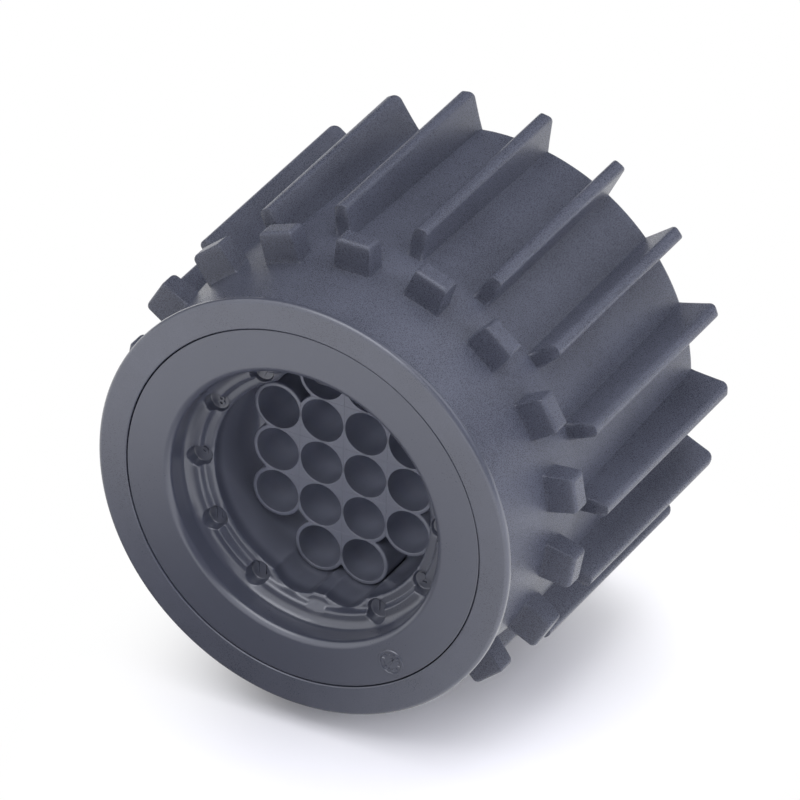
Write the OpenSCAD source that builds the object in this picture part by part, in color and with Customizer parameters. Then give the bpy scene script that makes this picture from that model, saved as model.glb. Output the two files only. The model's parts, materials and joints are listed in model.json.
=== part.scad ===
// Sealed circular connector, plug side, with a turning coupling ring.
// It lies on two grip ribs: its axis runs along Y, the wire face looks to -Y
// and the mating end to +Y. The origin is under its middle, on the floor.
// Lengths are in millimetres. "Depth" is measured from the wire face.

/* [Coupling ring] */
// Length of the ring from the wire face to the mating end
ring_len = 47; // [42:0.5:56]
// Diameter of the flange around the wire face
flange_d = 52; // [51:0.2:56]
// Thickness of the flange's rim
rim_t = 0.9; // [0.7:0.05:2]
// Edge radius on the front of the rim
rim_round = 0.4; // [0.2:0.05:0.45]
// Diameter of the neck just behind the rim
neck_d = 49; // [48:0.2:51]
// Diameter of the crease where the shoulder meets the drum
shoulder_d = 51.4; // [50:0.2:54]
// Depth of that crease
shoulder_depth = 15.4; // [14.6:0.1:16.4]
// Diameter of the drum at the mating end
drum_end_d = 49; // [48:0.2:51]
// Edge radius at the mating end of the drum
drum_round = 0.6; // [0.2:0.1:1]
// Bore that takes the mating connector
mouth_d = 44; // [43:0.2:45]
// Chamfer at the mouth of that bore
mouth_chamfer = 0.8; // [0.3:0.1:1.2]
// Thickness of the inner lip that the housing traps
lip_t = 3.2; // [2:0.1:4]

/* [Grip ribs] */
// Number of grip ribs, and of lugs between them
rib_count = 18; // [12:2:20]
// Diameter over the ribs
rib_d = 58.8; // [57:0.2:62]
// Width of a rib at its outer face
rib_w = 1.5; // [1.2:0.1:2.4]
// Width of a rib where it leaves the drum
rib_root_w = 2.4; // [2:0.1:3.4]
// Depth at which the ribs begin
rib_depth = 17.1; // [16.4:0.1:20]
// Lean of a rib's front end towards its foot
rib_lean = 0.5; // [0:0.1:1]
// Edge radius along a rib
rib_round = 0.4; // [0.2:0.05:0.55]
// Corner radius at a rib's ends
rib_end_round = 0.8; // [0.3:0.1:1.2]

/* [Grip lugs] */
// Diameter over the lugs
lug_d = 57.9; // [55:0.1:58]
// Width of a lug at its outer face
lug_w = 4.2; // [3:0.1:5]
// Width of a lug at its foot
lug_root_w = 4.9; // [4:0.1:6]
// Depth of a lug's front face
lug_depth = 10.7; // [9:0.1:11.4]
// Length of a lug's outer face along the axis
lug_len = 2.5; // [2:0.1:3]
// Draft of a lug's front and back, each measured at its foot
lug_draft = 0.35; // [0:0.05:0.6]
// Edge radius of a lug
lug_round = 0.4; // [0.2:0.05:0.8]

/* [Bayonet] */
// Number of bayonet lugs inside the ring
bayonet_count = 3; // [2:1:4]
// Angle that one bayonet lug covers
bayonet_angle = 18; // [10:1:24]
// How far a bayonet lug stands in from the bore
bayonet_h = 1.4; // [0.8:0.1:1.8]
// Length of a bayonet lug along the axis
bayonet_len = 3.2; // [2:0.1:4.5]
// Distance from the mating end to the bayonet lugs
bayonet_inset = 8.2; // [7.6:0.1:12]

/* [Contact housing] */
// Diameter of the housing's face, inside the ring's flange
face_d = 44.4; // [43:0.2:46]
// Thickness of the housing's flange
face_t = 3; // [2:0.1:4]
// Edge radius around the housing's face
face_round = 0.25; // [0.1:0.05:0.4]
// Diameter of the barrel that carries the ring
barrel_d = 37.2; // [36.6:0.1:38.4]
// Depth at which the barrel ends and the nose begins
barrel_depth = 13; // [12:0.1:16]
// Diameter of the mating nose
nose_d = 34; // [33:0.2:35]
// How far the nose stays back from the mating end of the ring
nose_setback = 7; // [5:0.1:7.4]
// Chamfer around the end of the nose
nose_chamfer = 0.6; // [0.2:0.1:1]
// Number of snap tabs that trap the ring
tab_count = 4; // [3:1:6]
// Angle that one snap tab covers
tab_angle = 26; // [14:1:36]
// How far a snap tab stands out from the barrel
tab_h = 1.7; // [1:0.1:2]
// Length of a snap tab along the axis
tab_len = 2.6; // [1.6:0.1:3]

/* [Wire entry] */
// Bore inside the wire face
bore_d = 33.8; // [32:0.1:34.4]
// Edge radius of the lip around that bore
bore_lip = 0.8; // [0.3:0.1:1.2]
// Depth at which the bore's straight wall ends
bore_wall_depth = 2.6; // [2:0.1:3]
// Radius of the hollow between that wall and the outer ledge
ledge_fillet = 1.1; // [0.5:0.1:1.3]
// Diameter of the step between the outer and the inner ledge
step_d = 30; // [28.6:0.1:30.4]
// Height of that step
step_h = 0.8; // [0.2:0.05:0.8]
// Diameter of the well around the cavities
well_d = 27.4; // [25.4:0.1:27.6]
// Edge radius where the inner ledge drops into the well
well_round = 0.4; // [0.1:0.05:0.6]
// Number of places on the ring of index pockets
index_places = 12; // [8:1:12]
// Diameter of that ring
index_ring_d = 30.4; // [29.8:0.1:30.8]
// Diameter of an index pocket
index_d = 2.6; // [2:0.1:2.7]
// Depth of an index pocket below the outer ledge
index_drop = 1.3; // [0.8:0.1:2]

/* [Cavities] */
// Pitch of the contact cavities, both ways
pitch = 5.55; // [5.5:0.05:5.7]
// Bore of a cavity where a wire seal fits
cavity_d = 5.3; // [4.6:0.05:5.35]
// Depth of the cavities' mouths
cavity_depth = 9.6; // [7:0.1:11]
// Length of a cavity's seal bore
seal_bore_len = 13; // [10:0.1:15]
// Bore of a cavity around its contact
contact_bore_d = 4; // [3:0.1:4.4]
// Wall around a cavity's mouth
cavity_wall = 0.5; // [0.4:0.05:0.7]
// Depth of the moat around the block of cavities, below their mouths
moat_drop = 5; // [2:0.1:8]
// Room that the end cavities cut into the ledge, beyond their bore
scallop_room = 0.65; // [0.2:0.05:0.9]

/* [Seal and lock] */
// Length of the interface seal along the nose
seal_len = 5.2; // [4:0.1:6.5]
// Thickness of the seal's wall
seal_wall = 1.1; // [0.8:0.1:1.5]
// Radius of each sealing lip
seal_lip = 0.7; // [0.4:0.05:0.8]
// Number of sealing lips
seal_lips = 3; // [2:1:3]
// Diameter of the contact lock in the nose's face
lock_d = 29.4; // [28.6:0.1:30]
// Thickness of the contact lock
lock_t = 2.6; // [2:0.1:4]
// Width of a window for one contact blade
window_w = 3.4; // [2.8:0.1:4]
// Height of that window
window_h = 1.4; // [1:0.1:2]
// Width of the two pry notches in the lock's rim
notch_w = 2.4; // [1.6:0.1:3]
// Depth of those notches, from the rim inwards
notch_depth = 0.9; // [0.5:0.1:1]

/* [Key grooves] */
// Number of key grooves along the nose
key_count = 3; // [2:1:5]
// Width of a key groove
key_w = 2.6; // [1.6:0.1:3.4]
// Depth of a key groove
key_depth = 0.9; // [0.5:0.1:1.1]

/* [Clearances] */
// Gap around the housing's face, inside the ring's flange
face_gap = 0.2; // [0.1:0.05:0.4]
// Gap between the barrel and the ring's inner lip
barrel_gap = 0.3; // [0.15:0.05:0.5]
// Play of the ring along the axis, on each side of its lip
axial_play = 0.2; // [0.1:0.05:0.4]
// Gap between the contact lock and its recess
lock_gap = 0.1; // [0.05:0.05:0.2]
// Gap between the relaxed seal and the nose
seal_gap = 0.05; // [0.02:0.01:0.1]
// Least wall left around a bore when a size inside it grows
wall_min = 1; // [0.6:0.1:1]
// Least width left of each ledge in the wire entry
ledge_min = 0.4; // [0.2:0.1:0.4]

/* [Hidden] */
$fn = 72;
// Overlap that lets a cut run past a face
past = 0.5;
// Angle between neighbouring ribs
rib_step = 360 / rib_count;
// Height of the axis: two ribs, half a step from straight down, touch the floor
axis_h = (rib_d / 2 - rib_round) * cos(rib_step / 2)
       + (rib_w / 2 - rib_round) * sin(rib_step / 2) + rib_round;
// The wire entry, from the well outwards: each step clears the one inside it
well_r = well_d / 2;
step_r = max(step_d / 2, well_r + well_round + ledge_min + step_h / 2);
bore_r = max(bore_d / 2, step_r + step_h / 2 + ledge_min + ledge_fillet);
ledge_depth = bore_wall_depth + ledge_fillet;
step_depth = ledge_depth + step_h;
// The lock's recess and the nose around it
recess_r = lock_d / 2 + lock_gap;
recess_depth = ring_len - nose_setback - lock_t;
nose_r = max(nose_d / 2, recess_r + wall_min + nose_chamfer);
seal_bore_depth = cavity_depth + seal_bore_len;
// The barrel and the housing's face
barrel_r = max(barrel_d / 2, bore_r + wall_min);
face_r = max(face_d / 2, bore_r + bore_lip + wall_min + face_round);
// The ring's walls, each around the bore inside it
counterbore_r = face_r + face_gap;
lip_r = barrel_r + barrel_gap;
mouth_r = mouth_d / 2;
drum_r = max(drum_end_d / 2, mouth_r + mouth_chamfer + wall_min + drum_round);
neck_r = max(neck_d / 2, counterbore_r + wall_min);
flange_r = max(flange_d / 2, neck_r + wall_min);
lip_front = face_t + axial_play;
lip_back = lip_front + lip_t;
// Ribs and lugs start inside the ring's wall, at its middle
root_r = (mouth_r + drum_r) / 2;
// Places of the cavities in steps of the pitch: short rows at the ends
long_rows = [for (row = [-1:1], column = [-1.5:1.5]) [column, row]];
short_rows = [for (row = [-2, 2], column = [-0.5, 0.5]) [column, row]];
cavities = concat(long_rows, short_rows);

// Height above the mating end of a place at some depth behind the wire face
function at(depth) = ring_len - depth;

// Points along an arc
function arc(centre, radius, from, to, steps = 5) =
    [for (i = [0:steps]) let (a = from + (to - from) * i / steps)
        centre + radius * [cos(a), sin(a)]];

// Turns a part from its mating end down to its place on the floor
module lie() {
    translate([0, 0, axis_h])
        rotate([90, 0, 0])
            translate([0, 0, -ring_len / 2])
                children();
}

// Copies around the axis
module around(count, start = 0) {
    for (i = [0:count - 1])
        rotate(start + i * 360 / count)
            children();
}

// A tapered bar's section: width at the foot, width at the top, rounded top edges
module bar_section(top_r, top_w, foot_w, edge) {
    polygon(concat(
        [[root_r, -foot_w / 2]],
        arc([top_r - edge, edge - top_w / 2], edge, -90, 0),
        arc([top_r - edge, top_w / 2 - edge], edge, 0, 90),
        [[root_r, foot_w / 2]]));
}

// A bar that stands out from the ring: its section, cut to its side outline
module bar(top_r, top_w, foot_w, edge) {
    intersection() {
        linear_extrude(height = ring_len)
            bar_section(top_r, top_w, foot_w, edge);
        rotate([90, 0, 0])
            linear_extrude(height = foot_w + past, center = true)
                children();
    }
}

// Outline of a rib from the side: leaning front end, rounded corners
module rib_side() {
    top = rib_d / 2;
    polygon(concat(
        [[root_r, 0]],
        arc([top - rib_end_round, rib_end_round], rib_end_round, -90, 0),
        arc([top - rib_end_round, at(rib_depth) - rib_end_round], rib_end_round, 0, 90),
        [[root_r, at(rib_depth - rib_lean)]]));
}

// Outline of a lug from the side: a block with draft
module lug_side() {
    top = lug_d / 2;
    polygon(concat(
        [[root_r, at(lug_depth + lug_len + lug_draft)]],
        arc([top - lug_round, at(lug_depth + lug_len) + lug_round], lug_round, -90, 0),
        arc([top - lug_round, at(lug_depth) - lug_round], lug_round, 0, 90),
        [[root_r, at(lug_depth - lug_draft)]]));
}

// Section of the ring's wall: drum, shoulder, neck, rim, counterbore and lip
module ring_section() {
    rear_round = rim_round / 2;
    polygon(concat(
        [[mouth_r, mouth_chamfer], [mouth_r + mouth_chamfer, 0]],
        arc([drum_r - drum_round, drum_round], drum_round, -90, 0),
        [[shoulder_d / 2, at(shoulder_depth)], [neck_r, at(rim_t)]],
        arc([flange_r - rear_round, at(rim_t) + rear_round], rear_round, -90, 0, 3),
        arc([flange_r - rim_round, ring_len - rim_round], rim_round, 0, 90),
        [[counterbore_r, ring_len], [counterbore_r, at(lip_front)],
         [lip_r, at(lip_front)], [lip_r, at(lip_back)], [mouth_r, at(lip_back)]]));
}

// One bayonet lug: an arc with chamfered flanks, sunk in the ring's wall
module bayonet_lug() {
    inner_r = mouth_r - bayonet_h;
    flank = bayonet_h / 2;
    rotate(-bayonet_angle / 2)
        rotate_extrude(angle = bayonet_angle)
            polygon([
                [mouth_r + past, bayonet_inset],
                [mouth_r, bayonet_inset],
                [inner_r, bayonet_inset + flank],
                [inner_r, bayonet_inset + bayonet_len],
                [mouth_r + past, bayonet_inset + bayonet_len]]);
}

module coupling_ring() {
    color([0.27, 0.28, 0.33])
        lie() {
            rotate_extrude()
                ring_section();
            around(rib_count)
                bar(rib_d / 2, rib_w, rib_root_w, rib_round)
                    rib_side();
            around(rib_count, rib_step / 2)
                bar(lug_d / 2, lug_w, lug_root_w, lug_round)
                    lug_side();
            around(bayonet_count, 180 / bayonet_count)
                bayonet_lug();
        }
}

// Section of the housing's wall: nose, barrel, flange, lip, ledges and well
module housing_section() {
    polygon(concat(
        [[0, at(recess_depth)], [recess_r, at(recess_depth)], [recess_r, nose_setback],
         [nose_r - nose_chamfer, nose_setback], [nose_r, nose_setback + nose_chamfer],
         [nose_r, at(barrel_depth)], [barrel_r, at(barrel_depth)],
         [barrel_r, at(face_t)], [face_r, at(face_t)]],
        arc([face_r - face_round, ring_len - face_round], face_round, 0, 90, 3),
        arc([bore_r + bore_lip, ring_len - bore_lip], bore_lip, 90, 180),
        arc([bore_r - ledge_fillet, at(bore_wall_depth)], ledge_fillet, 0, -90),
        [[step_r + step_h / 2, at(ledge_depth)], [step_r - step_h / 2, at(step_depth)]],
        arc([well_r + well_round, at(step_depth) - well_round], well_round, 90, 180, 3),
        [[well_r, at(cavity_depth)], [0, at(cavity_depth)]]));
}

// One snap tab: square towards the ring's lip, sloped towards the mating end
module snap_tab() {
    front = at(lip_back + axial_play);
    rotate(-tab_angle / 2)
        rotate_extrude(angle = tab_angle)
            polygon([
                [barrel_r - past, front],
                [barrel_r + tab_h, front],
                [barrel_r + tab_h, front - tab_len / 3],
                [barrel_r, front - tab_len],
                [barrel_r - past, front - tab_len]]);
}

// Copies at each of the given cavities
module at_each(places) {
    for (place = places)
        translate(pitch * place)
            children();
}

// Outline of the block that the cavities run through
module cavity_block() {
    at_each(cavities)
        circle(d = cavity_d + 2 * cavity_wall);
    square(pitch * [3, 2], center = true);
    square(pitch * [1, 4], center = true);
}

// The moat between the block of cavities and the wall of the well
module moat() {
    translate([0, 0, at(cavity_depth + moat_drop)])
        linear_extrude(height = moat_drop + past)
            difference() {
                circle(r = well_r);
                cavity_block();
            }
}

// A cavity's seal bore, and the narrower bore around its contact
module cavity_bore() {
    translate([0, 0, at(seal_bore_depth)])
        cylinder(d = cavity_d, h = seal_bore_len + past);
    translate([0, 0, at(recess_depth) - past])
        cylinder(d = contact_bore_d, h = recess_depth - seal_bore_depth + 2 * past);
}

// Room above the end cavities, cut into the ledge
module scallop() {
    translate([0, 0, at(cavity_depth)])
        cylinder(d = cavity_d + 2 * scallop_room, h = cavity_depth);
}

// Index pockets around the ledge, with none at the bottom place
module index_pockets() {
    for (i = [0:index_places - 1])
        if (i > 0)
            rotate(i * 360 / index_places - 90)
                translate([index_ring_d / 2, 0, at(ledge_depth + index_drop)])
                    cylinder(d = index_d, h = index_drop + past, $fn = 32);
}

// Key grooves along the nose, the first at the top
module key_grooves() {
    groove_r = nose_r - key_depth;
    around(key_count, 90)
        translate([groove_r, -key_w / 2, nose_setback - past])
            cube([key_depth + past, key_w, at(barrel_depth) - nose_setback - seal_len]);
}

module contact_housing() {
    color([0.29, 0.30, 0.35])
        lie() {
            difference() {
                rotate_extrude()
                    housing_section();
                moat();
                at_each(cavities)
                    cavity_bore();
                at_each(short_rows)
                    scallop();
                index_pockets();
                key_grooves();
            }
            around(tab_count, 180 / tab_count)
                snap_tab();
        }
}

// A sleeve on the nose, against the end of the barrel, with round lips outside
module interface_seal() {
    inner_r = nose_r + seal_gap;
    base = at(barrel_depth) - seal_len;
    lip_step = (seal_len - 2 * seal_lip) / (seal_lips - 1);
    color([0.62, 0.25, 0.18])
        lie()
            rotate_extrude()
                union() {
                    translate([inner_r, base])
                        square([seal_wall, seal_len]);
                    for (i = [0:seal_lips - 1])
                        translate([inner_r + seal_wall, base + seal_lip + i * lip_step])
                            circle(r = seal_lip, $fn = 24);
                }
}

// A disc in the nose's face with a window for each contact and two pry notches
module contact_lock() {
    color([0.72, 0.70, 0.64])
        lie()
            translate([0, 0, nose_setback])
                linear_extrude(height = lock_t)
                    difference() {
                        circle(d = lock_d);
                        at_each(cavities)
                            square([window_w, window_h], center = true);
                        around(2)
                            translate([lock_d / 2 - notch_depth, -notch_w / 2])
                                square([notch_depth + past, notch_w]);
                    }
}

coupling_ring();
contact_housing();
interface_seal();
contact_lock();
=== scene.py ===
# %% [markdown]
# # A sealed round connector, seen from its wire side
#
# The part is a plug for a wiring harness. A ribbed ring turns around a fixed
# housing and draws the plug onto its header. This lesson dresses the packed
# CAD model: each moulding becomes smooth numpy surfaces with the small edge
# radii that catch the light, and then gets a moulded plastic or rubber finish.

import json

import bmesh
import bpy
import numpy as np
from mathutils import Euler, Matrix, Vector


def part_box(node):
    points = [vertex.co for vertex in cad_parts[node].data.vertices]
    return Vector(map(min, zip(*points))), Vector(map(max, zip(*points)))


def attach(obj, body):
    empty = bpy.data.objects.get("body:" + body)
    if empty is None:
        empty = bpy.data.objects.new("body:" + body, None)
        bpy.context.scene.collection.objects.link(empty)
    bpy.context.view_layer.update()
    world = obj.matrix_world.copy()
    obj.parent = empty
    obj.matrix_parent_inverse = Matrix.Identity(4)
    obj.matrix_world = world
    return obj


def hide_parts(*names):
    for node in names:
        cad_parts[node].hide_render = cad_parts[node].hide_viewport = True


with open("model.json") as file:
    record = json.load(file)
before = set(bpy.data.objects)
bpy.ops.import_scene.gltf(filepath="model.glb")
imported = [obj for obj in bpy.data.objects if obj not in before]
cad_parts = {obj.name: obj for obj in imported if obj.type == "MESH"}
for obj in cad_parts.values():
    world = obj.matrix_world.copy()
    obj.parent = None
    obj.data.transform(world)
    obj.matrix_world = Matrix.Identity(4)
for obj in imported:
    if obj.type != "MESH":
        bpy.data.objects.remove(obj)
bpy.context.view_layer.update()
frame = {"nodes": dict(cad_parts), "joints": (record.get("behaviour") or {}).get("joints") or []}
print("nodes:", sorted(frame["nodes"]))

# %% [markdown]
# ## The connector's own axes
#
# Moulded parts are drawn in millimetres around their axis, so the lesson does
# that too: x to the right, y up from the axis, and depth behind the wire face.
# The axis height comes from the ring's joint and the wire face from the CAD
# box, so every piece lands where the CAD model is.

# %% From drawing millimetres to the frame's metres
MM = 0.001
AXIS_HEIGHT = frame["joints"][0]["pos_m"][2]
WIRE_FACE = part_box("coupling_ring")[0].y


def in_frame(x, y, depth):
    """Points in metres: x stays, depth runs along +Y from the wire face, y lifts from the axis."""
    x, y, depth = np.broadcast_arrays(x, y, depth)
    return np.stack([x * MM, depth * MM + WIRE_FACE, y * MM + AXIS_HEIGHT], axis=-1)


def turned(radius, angle, depth):
    """Points on a lathe: radius times the angle's cosine and sine give x and y."""
    return in_frame(radius * np.cos(angle), radius * np.sin(angle), depth)


def full_turn(columns):
    """Evenly spaced angles of one turn, without the last one, which is the first again."""
    return np.linspace(0, 2 * np.pi, columns + 1)[:-1]


print("axis height", round(AXIS_HEIGHT / MM, 3), "mm; wire face at", round(WIRE_FACE / MM, 3), "mm")

# %% [markdown]
# ## Grids that become meshes
#
# Every new piece is a grid of points: rows run along a profile, columns run
# around or along the piece. A grid can close on itself both ways like a
# doughnut, or end in two flat caps like a bar. Which way its faces look is
# told by the sign of the volume that they enclose.

# %% A piece from grids


def grid_faces(rows, columns, ring):
    """Quads between neighbouring points, and caps: rows always wrap, columns only in a ring."""
    index = np.arange(rows * columns).reshape(rows, columns)
    below = np.roll(index, -1, axis=0)
    quads = np.stack([index, np.roll(index, -1, axis=1), np.roll(below, -1, axis=1), below], axis=-1)
    if ring:
        return quads.reshape(-1, 4), np.empty((0, rows), int)
    caps = np.stack([index[:, 0], index[::-1, -1]])
    return quads[:, :-1].reshape(-1, 4), caps


def enclosed(points, ring):
    """Signed volume: a sixth of the triple products of each quad's two triangles, caps left out."""
    here = points - points.mean(axis=(0, 1))
    below = np.roll(here, -1, axis=0)
    if ring:
        a, b, c, d = here, np.roll(here, -1, axis=1), np.roll(below, -1, axis=1), below
    else:
        a, b, c, d = here[:, :-1], here[:, 1:], below[:, 1:], below[:, :-1]
    return (np.sum(a * np.cross(b, c)) + np.sum(a * np.cross(c, d))) / 6


def add_object(name, data):
    """New object at the origin of the scene."""
    made = bpy.data.objects.new(name, data)
    bpy.context.scene.collection.objects.link(made)
    return made


def make_piece(name, grids, material, body):
    """One mesh object from (points, ring) grids, every grid turned to face outwards."""
    points, faces, start = [], [], 0
    for grid, ring in grids:
        if enclosed(grid, ring) < 0:
            grid = grid[::-1]
        points.append(grid.reshape(-1, 3))
        quads, caps = grid_faces(*grid.shape[:2], ring)
        faces += (start + quads).tolist() + (start + caps).tolist()
        start += len(points[-1])
    mesh = bpy.data.meshes.new(name)
    mesh.from_pydata(np.concatenate(points).tolist(), [], faces)
    mesh.polygons.foreach_set("use_smooth", np.ones(len(mesh.polygons), bool))
    mesh.materials.append(material)
    mesh.update()
    piece = add_object(name, mesh)
    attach(piece, body)
    print(name, len(mesh.vertices), "points,", len(faces), "faces")
    return piece


# %% [markdown]
# ## Rounded profiles
#
# A moulded edge is never sharp, and its radius draws the thin bright line that
# tells the eye it is plastic. A Bevel modifier could round the finished mesh,
# but here each profile is rounded while it is drawn, with a radius for every
# corner. Lead points on both sides of an arc keep its smooth shading from
# bleeding into the flat beside it.

# %% Swap corners for arcs
LEAD = 0.05


def unit(vector):
    """Vector of length 1: itself divided by its length."""
    return vector / np.linalg.norm(vector)


def corner_arc(before, corner, after, radius, steps):
    """Arc that touches both legs of a corner: its centre is radius over the half angle's sine away."""
    back, on = unit(before - corner), unit(after - corner)
    half = np.arccos(np.clip(back @ on, -1, 1)) / 2
    leg = radius / np.tan(half)
    centre = corner + unit(back + on) * radius / np.sin(half)
    start, end = corner + back * leg - centre, corner + on * leg - centre
    sweep = np.pi - 2 * half
    t = np.linspace(0, 1, steps + 1)[:, None]
    return centre + (np.sin((1 - t) * sweep) * start + np.sin(t * sweep) * end) / np.sin(sweep)


def rounded(corners, steps=4, closed=False):
    """Path through corners, each two places and the radius of its arc; a radius of 0 keeps it sharp."""
    corners, radii = np.split(np.array(corners, float), [2], axis=1)
    path = []
    for i, radius in enumerate(radii[:, 0]):
        before, after = corners[i - 1], corners[(i + 1) % len(corners)]
        inner = closed or 0 < i < len(corners) - 1
        if radius == 0 or not inner:
            path.append(corners[i][None])
            continue
        arc = corner_arc(before, corners[i], after, radius, steps)
        lead_in = arc[0] + LEAD * unit(before - corners[i])
        lead_out = arc[-1] + LEAD * unit(after - corners[i])
        path += [lead_in[None], arc, lead_out[None]]
    return np.concatenate(path)


sample = rounded([(0, 0, 0.1), (1, 0, 0.1), (1, 1, 0.1), (0, 1, 0.1)], closed=True)
print("a rounded square has", len(sample), "points")

# %% [markdown]
# ## Moulded finishes
#
# Glass-filled plastic has two scales of detail: a fine spark-eroded grain that
# breaks up highlights, and a slow change of tone where the melt flowed. Images
# could carry both, but noise needs no unwrapping and stays sharp at any zoom.
# A node group works them out once for all finishes. The rim comes from a
# polished part of the mould, so the group also says where the grain is weak.

# %% Helpers for nodes
MIX_SOCKETS = {"FLOAT": (2, 3, 0), "RGBA": (6, 7, 2)}
SOCKET_KINDS = {tuple: "NodeSocketColor", float: "NodeSocketFloat"}


def plug(node, values):
    """Link outputs to a node's inputs, or set those inputs to plain numbers and colours."""
    for label, value in values.items():
        if isinstance(value, bpy.types.NodeSocket):
            node.id_data.links.new(value, node.inputs[label])
        else:
            node.inputs[label].default_value = value
    return node


def new_node(tree, kind, values, **settings):
    """Shader node of a kind: its settings first, which decide on its inputs, and then the inputs."""
    node = tree.nodes.new("ShaderNode" + kind)
    for label, value in settings.items():
        setattr(node, label, value)
    return plug(node, values)


def math_node(tree, operation, *values, kind="Math"):
    """Math or Vector Math node that gives a number."""
    return new_node(tree, kind, dict(enumerate(values)), operation=operation).outputs["Value"]


def mixed(tree, kind, factor, low, high):
    """Mix of two floats or two colours: low times the rest of the factor, plus high times it."""
    first, second, result = MIX_SOCKETS[kind]
    return new_node(tree, "Mix", {0: factor, first: low, second: high}, data_type=kind).outputs[result]


def ramp_node(tree, value, low, high):
    """Smooth step: 0 below low, 1 above high, eased in between."""
    values = {"Value": value, "From Min": low, "From Max": high}
    return new_node(tree, "MapRange", values, interpolation_type="SMOOTHSTEP").outputs["Result"]


def centred(tree, location, scale=(1, 1, 1)):
    """Object coordinates times a scale, moved by a location."""
    place = new_node(tree, "TexCoord", {}).outputs["Object"]
    values = {"Vector": place, "Location": location, "Scale": scale}
    return new_node(tree, "Mapping", values).outputs["Vector"]


def new_group(name, inputs, outputs):
    """Empty shader node group with sockets for the types of its inputs and outputs."""
    group = bpy.data.node_groups.new(name, "ShaderNodeTree")
    for label, value in inputs.items():
        socket = group.interface.new_socket(label, in_out="INPUT", socket_type=SOCKET_KINDS[type(value)])
        socket.default_value = value
    for label, kind in outputs.items():
        group.interface.new_socket(label, in_out="OUTPUT", socket_type=SOCKET_KINDS[kind])
    return group, group.nodes.new("NodeGroupInput").outputs, group.nodes.new("NodeGroupOutput")


# %% The shared grain group
FACE_GRAIN = 0.3
GRAIN_CONTRAST = 2.4
FLOW_SPAN = 0.6
FLOW_LOW = 0.2
GRAIN_INPUTS = {
    "Dark": (0.05, 0.05, 0.06, 1),
    "Light": (0.07, 0.07, 0.08, 1),
    "Smooth": 0.35,
    "Rough": 0.5,
    "Grain Scale": 5000.0,
    "Flow Scale": 90.0,
    "Grain From": -1.0,
}
GRAIN_OUTPUTS = {"Color": tuple, "Roughness": float, "Height": float, "Polish": float}


def noise(group, place, scale, detail, roughness):
    """Noise on a place, from 0 to 1 about 0.5."""
    values = {"Vector": place, "Scale": scale, "Detail": detail, "Roughness": roughness}
    return new_node(group, "TexNoise", values).outputs["Fac"]


def build_grain():
    """Height: fine noise about 0, weak in front of Grain From. Tone and gloss: slow noise plus height."""
    group, entry, result = new_group("moulded_grain", GRAIN_INPUTS, GRAIN_OUTPUTS)
    place = new_node(group, "TexCoord", {}).outputs["Object"]
    grain = noise(group, place, entry["Grain Scale"], 2.0, 0.5)
    flow = noise(group, place, entry["Flow Scale"], 4.0, 0.6)
    depth = new_node(group, "SeparateXYZ", {0: place}).outputs["Y"]
    past_rim = math_node(group, "GREATER_THAN", depth, entry["Grain From"])
    strength = math_node(group, "MULTIPLY_ADD", past_rim, 1 - FACE_GRAIN, FACE_GRAIN)
    speck = math_node(group, "MULTIPLY", math_node(group, "SUBTRACT", grain, 0.5), strength)
    slow = math_node(group, "MULTIPLY_ADD", flow, FLOW_SPAN, FLOW_LOW)
    tone = math_node(group, "MULTIPLY_ADD", speck, GRAIN_CONTRAST, slow)
    plug(result, {
        "Color": mixed(group, "RGBA", tone, entry["Dark"], entry["Light"]),
        "Roughness": mixed(group, "FLOAT", tone, entry["Smooth"], entry["Rough"]),
        "Height": speck,
        "Polish": math_node(group, "SUBTRACT", 1.0, past_rim),
    })
    return group


GRAIN = build_grain()
print("grain group sockets:", [s.name for s in GRAIN.interface.items_tree])

# %% [markdown]
# Deep in the wire entry little light arrives, so the walls of moat and cavities
# would render nearly black. A second group gives a mask for these walls from
# their radius and depth, and their colour is painted paler there: painted light
# that lifts the deep walls. The nose behind them is out in the open, so the
# mask ends in front of it.

# %% The painted-light mask
SHELTER_RADIUS = 0.0155
WELL_FADE = 0.0015
CAVITY_FADE = 0.006
NOSE_START = 0.03
WELL_SHARE = 0.25


def build_painted_light_mask():
    """Mask for painted light: a quarter past the well's edge, growing to 1 down the cavities; 0 outside the
    well.
    """
    group, entry, result = new_group("painted_light_walls", {"Edge": 0.0053, "Mouth": 0.0097}, {"Mask": float})
    place = centred(group, (0, -WIRE_FACE, -AXIS_HEIGHT))
    x, depth, y = new_node(group, "SeparateXYZ", {0: place}).outputs
    squares = math_node(group, "MULTIPLY_ADD", y, y, math_node(group, "MULTIPLY", x, x))
    within = math_node(group, "LESS_THAN", math_node(group, "SQRT", squares), SHELTER_RADIUS)
    edge, mouth = entry["Edge"], entry["Mouth"]
    past_edge = ramp_node(group, depth, edge, math_node(group, "ADD", edge, WELL_FADE))
    past_mouth = ramp_node(group, depth, mouth, math_node(group, "ADD", mouth, CAVITY_FADE))
    before_nose = math_node(group, "LESS_THAN", depth, NOSE_START)
    shelter = math_node(group, "MULTIPLY", math_node(group, "MULTIPLY", past_edge, within), before_nose)
    share = math_node(group, "MULTIPLY_ADD", past_mouth, 1 - WELL_SHARE, WELL_SHARE)
    plug(result, {"Mask": math_node(group, "MULTIPLY", share, shelter)})
    return group


PAINTED_LIGHT_MASK = build_painted_light_mask()
print("shelter group sockets:", [s.name for s in PAINTED_LIGHT_MASK.interface.items_tree])

# %% [markdown]
# The Principled shader stays in each material, and the groups feed its colour,
# roughness and bump. Smooth moulded skin gets a clear coat: on the ring only
# where the grain group says that the rim is polished, on the housing all over.

# %% A finish from the groups
SKIN_IOR = 1.65
COAT_IOR = 1.6
COOL_GLINT = (0.86, 0.89, 1, 1)


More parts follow.
